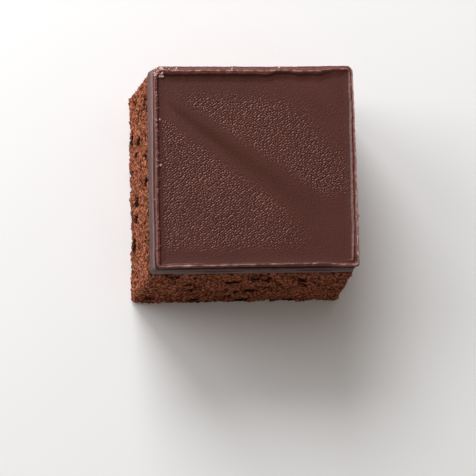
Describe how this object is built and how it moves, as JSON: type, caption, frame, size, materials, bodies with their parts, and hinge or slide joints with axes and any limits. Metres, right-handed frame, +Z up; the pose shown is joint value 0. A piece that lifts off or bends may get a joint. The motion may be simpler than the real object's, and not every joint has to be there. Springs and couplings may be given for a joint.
{
  "type": "chocolate square cake",
  "caption": "Small hand-cut square of chocolate sponge under a smooth ganache slab and a dark satin glaze with a raised uneven lip.",
  "frame": {"origin": "middle of the cake's box on the surface it stands on", "axes": "+Z up through the layers, +Y towards the back side, +X towards the right side as the picture shows the top"},
  "size_m": [0.0758, 0.0751, 0.042],
  "materials": {
    "sponge_crumb": "baked chocolate sponge cut with a knife: dry open crumb, fully matt, with holes and loose crumbs",
    "ganache": "set chocolate ganache drawn smooth by a knife: grey brown, dull satin",
    "chocolate_glaze": "set dark chocolate glaze: satin top with fine pimples, rougher torn lip round the edge"
  },
  "bodies": {
    "root": {"sponge": "sponge_crumb", "ganache": "ganache", "glaze": "chocolate_glaze"}
  },
  "joints": []
}
